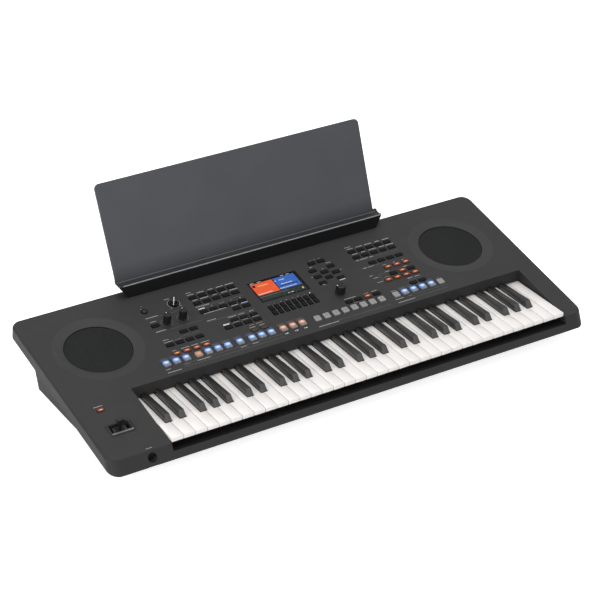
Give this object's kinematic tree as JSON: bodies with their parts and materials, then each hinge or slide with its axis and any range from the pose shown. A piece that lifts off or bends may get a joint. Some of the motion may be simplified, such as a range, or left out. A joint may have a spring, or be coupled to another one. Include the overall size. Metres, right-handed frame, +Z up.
{
  "type": "arranger keyboard",
  "caption": "Portable arranger keyboard: shallow sloping case with a piano-style keybed, loudspeakers in dishes, a control panel with a display, a joystick and a lift-off music rest.",
  "frame": {"origin": "on the floor, under the middle of the instrument with its music rest", "axes": "+X to the player's right, +Y away from the player, +Z up"},
  "size_m": [1.01, 0.477, 0.33],
  "materials": {
    "case_plastic": "fine satin texture",
    "under_plastic": "fine matt texture",
    "rest_plastic": "fine satin texture",
    "white_key_plastic": "polished",
    "black_key_plastic": "satin",
    "dark_cap": "satin",
    "grey_cap": "satin, translucent",
    "blue_cap": "satin, translucent, lit",
    "orange_cap": "satin, translucent, lit",
    "knob_plastic": "satin",
    "display_glass": "clear",
    "display_panel": "screen",
    "grille_metal": "perforated, satin",
    "speaker_metal": "black",
    "chassis_metal": "black",
    "felt": "pressed felt",
    "rubber": "matt",
    "circuit_board": "coated",
    "socket_plastic": "moulded",
    "plated_steel": "plated"
  },
  "bodies": {
    "case": {"upper_case": "case_plastic", "lower_case": "under_plastic", "rear_panel": "under_plastic", "joystick_housing": "knob_plastic", "display_window": "display_glass", "display_module": "display_panel", "left_speaker_grille": "grille_metal", "right_speaker_grille": "grille_metal", "loudspeakers": "speaker_metal", "keybed_chassis": "chassis_metal", "key_stop_felts": "felt", "key_contact_rubbers": "rubber", "rubber_feet": "rubber", "key_contact_board": "circuit_board", "main_board": "circuit_board", "left_panel_board": "circuit_board", "right_panel_board": "circuit_board", "phones_jack": "socket_plastic", "rear_jacks": "socket_plastic", "aux_jack": "socket_plastic", "dc_inlet": "socket_plastic", "usb_device_port": "plated_steel", "usb_host_port": "plated_steel", "case_screws": "plated_steel", "rotary_pots": "plated_steel"},
    "keys_c": {"keys_c": "white_key_plastic"},
    "keys_d": {"keys_d": "white_key_plastic"},
    "keys_e": {"keys_e": "white_key_plastic"},
    "keys_f": {"keys_f": "white_key_plastic"},
    "keys_g": {"keys_g": "white_key_plastic"},
    "keys_a": {"keys_a": "white_key_plastic"},
    "keys_b": {"keys_b": "white_key_plastic"},
    "keys_c_sharp": {"keys_c_sharp": "black_key_plastic"},
    "keys_d_sharp": {"keys_d_sharp": "black_key_plastic"},
    "keys_f_sharp": {"keys_f_sharp": "black_key_plastic"},
    "keys_g_sharp": {"keys_g_sharp": "black_key_plastic"},
    "keys_a_sharp": {"keys_a_sharp": "black_key_plastic"},
    "style_buttons": {"style_buttons": "dark_cap"},
    "song_buttons": {"song_buttons": "dark_cap"},
    "setup_buttons": {"setup_buttons": "dark_cap"},
    "tempo_buttons": {"tempo_buttons": "dark_cap"},
    "registration_buttons": {"registration_buttons": "dark_cap"},
    "display_rockers": {"display_rockers": "dark_cap"},
    "cursor_buttons": {"cursor_buttons": "dark_cap"},
    "voice_buttons": {"voice_buttons": "dark_cap"},
    "standby_button": {"standby_button": "dark_cap"},
    "registration_pads": {"registration_pads": "grey_cap"},
    "style_control_pads": {"style_control_pads": "blue_cap"},
    "one_touch_pads": {"one_touch_pads": "blue_cap"},
    "accompaniment_buttons": {"accompaniment_buttons": "orange_cap"},
    "part_buttons": {"part_buttons": "orange_cap"},
    "transport_pads": {"transport_pads": "orange_cap"},
    "hold_button": {"hold_button": "orange_cap"},
    "volume_knob": {"volume_knob": "knob_plastic"},
    "live_knob_left": {"live_knob_left": "knob_plastic"},
    "live_knob_right": {"live_knob_right": "knob_plastic"},
    "data_dial": {"data_dial": "knob_plastic"},
    "joystick_gimbal": {"joystick_gimbal": "knob_plastic"},
    "joystick_lever": {"joystick_lever": "knob_plastic"},
    "music_rest": {"music_rest": "rest_plastic"}
  },
  "joints": [
    {"name": "keys_c_press", "type": "hinge", "parent": "case", "child": "keys_c", "pos_m": [0, -0.0225, 0.052], "axis": [1, 0, 0], "range_deg": [0, 2.84], "stiffness_Nm_per_rad": 2.9, "springref_deg": -20.05},
    {"name": "keys_d_press", "type": "hinge", "parent": "case", "child": "keys_d", "pos_m": [0, -0.0225, 0.052], "axis": [1, 0, 0], "range_deg": [0, 2.84], "stiffness_Nm_per_rad": 2.9, "springref_deg": -20.05},
    {"name": "keys_e_press", "type": "hinge", "parent": "case", "child": "keys_e", "pos_m": [0, -0.0225, 0.052], "axis": [1, 0, 0], "range_deg": [0, 2.84], "stiffness_Nm_per_rad": 2.9, "springref_deg": -20.05},
    {"name": "keys_f_press", "type": "hinge", "parent": "case", "child": "keys_f", "pos_m": [0, -0.0225, 0.052], "axis": [1, 0, 0], "range_deg": [0, 2.84], "stiffness_Nm_per_rad": 2.9, "springref_deg": -20.05},
    {"name": "keys_g_press", "type": "hinge", "parent": "case", "child": "keys_g", "pos_m": [0, -0.0225, 0.052], "axis": [1, 0, 0], "range_deg": [0, 2.84], "stiffness_Nm_per_rad": 2.9, "springref_deg": -20.05},
    {"name": "keys_a_press", "type": "hinge", "parent": "case", "child": "keys_a", "pos_m": [0, -0.0225, 0.052], "axis": [1, 0, 0], "range_deg": [0, 2.84], "stiffness_Nm_per_rad": 2.9, "springref_deg": -20.05},
    {"name": "keys_b_press", "type": "hinge", "parent": "case", "child": "keys_b", "pos_m": [0, -0.0225, 0.052], "axis": [1, 0, 0], "range_deg": [0, 2.84], "stiffness_Nm_per_rad": 2.9, "springref_deg": -20.05},
    {"name": "keys_c_sharp_press", "type": "hinge", "parent": "case", "child": "keys_c_sharp", "pos_m": [0, -0.0225, 0.052], "axis": [1, 0, 0], "range_deg": [0, 2.84], "stiffness_Nm_per_rad": 2.9, "springref_deg": -20.05},
    {"name": "keys_d_sharp_press", "type": "hinge", "parent": "case", "child": "keys_d_sharp", "pos_m": [0, -0.0225, 0.052], "axis": [1, 0, 0], "range_deg": [0, 2.84], "stiffness_Nm_per_rad": 2.9, "springref_deg": -20.05},
    {"name": "keys_f_sharp_press", "type": "hinge", "parent": "case", "child": "keys_f_sharp", "pos_m": [0, -0.0225, 0.052], "axis": [1, 0, 0], "range_deg": [0, 2.84], "stiffness_Nm_per_rad": 2.9, "springref_deg": -20.05},
    {"name": "keys_g_sharp_press", "type": "hinge", "parent": "case", "child": "keys_g_sharp", "pos_m": [0, -0.0225, 0.052], "axis": [1, 0, 0], "range_deg": [0, 2.84], "stiffness_Nm_per_rad": 2.9, "springref_deg": -20.05},
    {"name": "keys_a_sharp_press", "type": "hinge", "parent": "case", "child": "keys_a_sharp", "pos_m": [0, -0.0225, 0.052], "axis": [1, 0, 0], "range_deg": [0, 2.84], "stiffness_Nm_per_rad": 2.9, "springref_deg": -20.05},
    {"name": "style_buttons_press", "type": "slide", "parent": "case", "child": "style_buttons", "axis": [0, 0.198, -0.9802], "range_m": [0, 0.0008], "stiffness_N_per_m": 300, "springref_m": -0.002},
    {"name": "song_buttons_press", "type": "slide", "parent": "case", "child": "song_buttons", "axis": [0, 0.198, -0.9802], "range_m": [0, 0.0008], "stiffness_N_per_m": 300, "springref_m": -0.002},
    {"name": "setup_buttons_press", "type": "slide", "parent": "case", "child": "setup_buttons", "axis": [0, 0.198, -0.9802], "range_m": [0, 0.0008], "stiffness_N_per_m": 300, "springref_m": -0.002},
    {"name": "tempo_buttons_press", "type": "slide", "parent": "case", "child": "tempo_buttons", "axis": [0, 0.198, -0.9802], "range_m": [0, 0.0008], "stiffness_N_per_m": 300, "springref_m": -0.002},
    {"name": "registration_buttons_press", "type": "slide", "parent": "case", "child": "registration_buttons", "axis": [0, 0.198, -0.9802], "range_m": [0, 0.0008], "stiffness_N_per_m": 300, "springref_m": -0.002},
    {"name": "display_rockers_press", "type": "slide", "parent": "case", "child": "display_rockers", "axis": [0, 0.198, -0.9802], "range_m": [0, 0.0008], "stiffness_N_per_m": 300, "springref_m": -0.002},
    {"name": "cursor_buttons_press", "type": "slide", "parent": "case", "child": "cursor_buttons", "axis": [0, 0.198, -0.9802], "range_m": [0, 0.0008], "stiffness_N_per_m": 300, "springref_m": -0.002},
    {"name": "voice_buttons_press", "type": "slide", "parent": "case", "child": "voice_buttons", "axis": [0, 0.198, -0.9802], "range_m": [0, 0.0008], "stiffness_N_per_m": 300, "springref_m": -0.002},
    {"name": "standby_button_press", "type": "slide", "parent": "case", "child": "standby_button", "axis": [0, 0.198, -0.9802], "range_m": [0, 0.0008], "stiffness_N_per_m": 150, "springref_m": -0.002},
    {"name": "registration_pads_press", "type": "slide", "parent": "case", "child": "registration_pads", "axis": [0, 0.198, -0.9802], "range_m": [0, 0.0008], "stiffness_N_per_m": 300, "springref_m": -0.002},
    {"name": "style_control_pads_press", "type": "slide", "parent": "case", "child": "style_control_pads", "axis": [0, 0.198, -0.9802], "range_m": [0, 0.0008], "stiffness_N_per_m": 300, "springref_m": -0.002},
    {"name": "one_touch_pads_press", "type": "slide", "parent": "case", "child": "one_touch_pads", "axis": [0, 0.198, -0.9802], "range_m": [0, 0.0008], "stiffness_N_per_m": 300, "springref_m": -0.002},
    {"name": "accompaniment_buttons_press", "type": "slide", "parent": "case", "child": "accompaniment_buttons", "axis": [0, 0.198, -0.9802], "range_m": [0, 0.0008], "stiffness_N_per_m": 300, "springref_m": -0.002},
    {"name": "part_buttons_press", "type": "slide", "parent": "case", "child": "part_buttons", "axis": [0, 0.198, -0.9802], "range_m": [0, 0.0008], "stiffness_N_per_m": 300, "springref_m": -0.002},
    {"name": "transport_pads_press", "type": "slide", "parent": "case", "child": "transport_pads", "axis": [0, 0.198, -0.9802], "range_m": [0, 0.0008], "stiffness_N_per_m": 300, "springref_m": -0.002},
    {"name": "hold_button_press", "type": "slide", "parent": "case", "child": "hold_button", "axis": [0, 0.198, -0.9802], "range_m": [0, 0.0008], "stiffness_N_per_m": 150, "springref_m": -0.002},
    {"name": "volume_knob_turn", "type": "hinge", "parent": "case", "child": "volume_knob", "pos_m": [-0.2045, 0.09829, 0.12066], "axis": [0, -0.198, 0.9802], "range_deg": [-300, 0]},
    {"name": "live_knob_left_turn", "type": "hinge", "parent": "case", "child": "live_knob_left", "pos_m": [-0.2415, 0.05526, 0.11197], "axis": [0, -0.198, 0.9802], "range_deg": [-150, 150]},
    {"name": "live_knob_right_turn", "type": "hinge", "parent": "case", "child": "live_knob_right", "pos_m": [-0.2085, 0.05526, 0.11197], "axis": [0, -0.198, 0.9802], "range_deg": [-150, 150]},
    {"name": "data_dial_turn", "type": "hinge", "parent": "case", "child": "data_dial", "pos_m": [0.1015, 0.0035, 0.10151], "axis": [0, -0.198, 0.9802], "continuous": true},
    {"name": "joystick_side", "type": "hinge", "parent": "case", "child": "joystick_gimbal", "pos_m": [-0.4475, -0.15538, 0.0633], "axis": [0, 0.9802, 0.198], "range_deg": [-16, 16], "stiffness_Nm_per_rad": 0.15},
    {"name": "joystick_tilt", "type": "hinge", "parent": "joystick_gimbal", "child": "joystick_lever", "pos_m": [-0.4475, -0.15538, 0.0633], "axis": [1, 0, 0], "range_deg": [-16, 16], "stiffness_Nm_per_rad": 0.15},
    {"name": "music_rest_lift", "type": "slide", "parent": "case", "child": "music_rest", "axis": [0, 0, 1], "range_m": [0, 0.06]}
  ]
}
